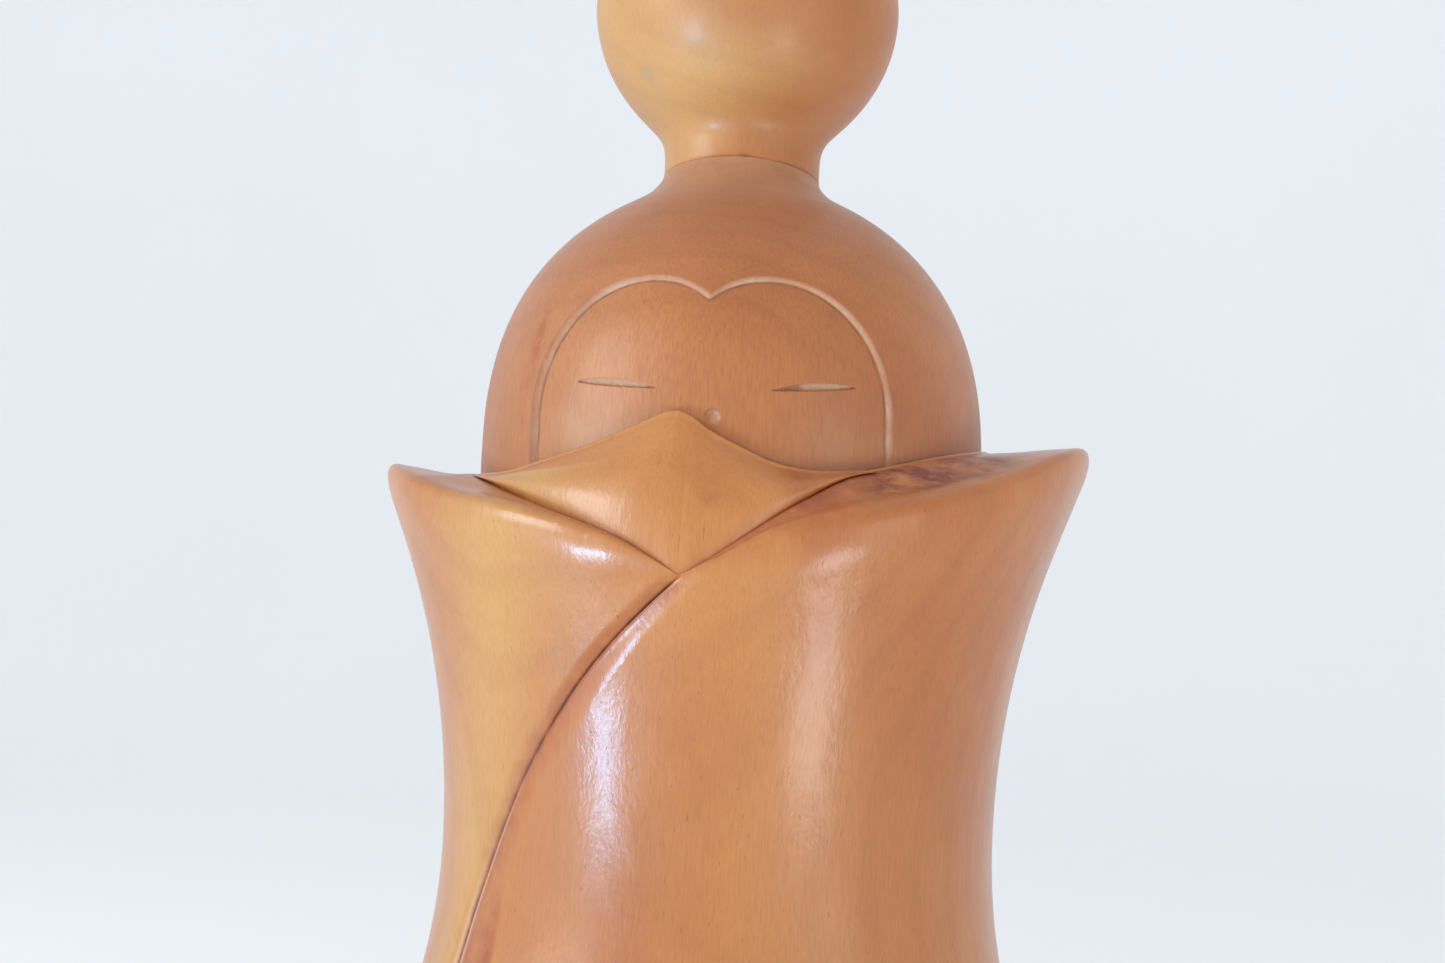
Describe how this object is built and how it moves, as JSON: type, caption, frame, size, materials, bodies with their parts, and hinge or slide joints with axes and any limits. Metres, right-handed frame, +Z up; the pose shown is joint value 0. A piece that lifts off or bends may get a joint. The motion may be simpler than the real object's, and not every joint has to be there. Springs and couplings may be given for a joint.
{
  "type": "wooden doll",
  "caption": "Turned wooden doll: a flared robe with a carved wrapped collar, a round head with a carved face that turns in the collar, and a ball-shaped topknot.",
  "frame": {"origin": "centre of the robe's flat base, on the surface that the doll stands on", "axes": "+Z up along the axis that the doll was turned on, -Y towards the point of the collar's V, +X towards the higher of the two collar wings"},
  "size_m": [0.1278, 0.1215, 0.243],
  "materials": {
    "robe_wood": "semi-gloss clear finish over warm orange-brown fine-grained wood",
    "head_wood": "satin clear finish over red-brown fine-grained wood",
    "topknot_wood": "gloss clear finish over yellow-orange fine-grained wood",
    "peg_wood": "bare, unfinished pale wood"
  },
  "bodies": {
    "robe": {"robe": "robe_wood"},
    "head": {"head": "head_wood", "topknot": "topknot_wood", "neck_peg": "peg_wood", "topknot_dowel": "peg_wood"}
  },
  "joints": [
    {"name": "head_turn", "type": "hinge", "parent": "robe", "child": "head", "pos_m": [0, 0, 0.114], "axis": [0, 0, 1], "continuous": true}
  ]
}
